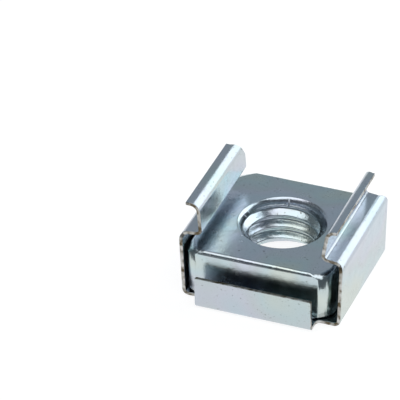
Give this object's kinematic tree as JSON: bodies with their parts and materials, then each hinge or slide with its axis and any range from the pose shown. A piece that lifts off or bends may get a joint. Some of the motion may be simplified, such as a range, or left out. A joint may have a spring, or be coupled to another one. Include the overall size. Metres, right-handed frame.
{
  "type": "rack cage nut",
  "caption": "Square nut held loosely in a folded spring-steel cage whose two wings snap into a square rack hole.",
  "frame": {"origin": "middle of the cage's flat base, on its underside", "axes": "+Z out of the thread, from the base towards the wings; +X towards the right wing; +Y towards the tall end tab"},
  "size_m": [0.0124, 0.0124, 0.008],
  "materials": {
    "zinc_spring_steel": "bright zinc plate, blue passivated, on smooth spring-steel sheet",
    "zinc_steel": "bright zinc plate, blue passivated, on a cold-formed steel nut"
  },
  "bodies": {
    "root": {"cage": "zinc_spring_steel", "square_nut": "zinc_steel"}
  },
  "joints": []
}
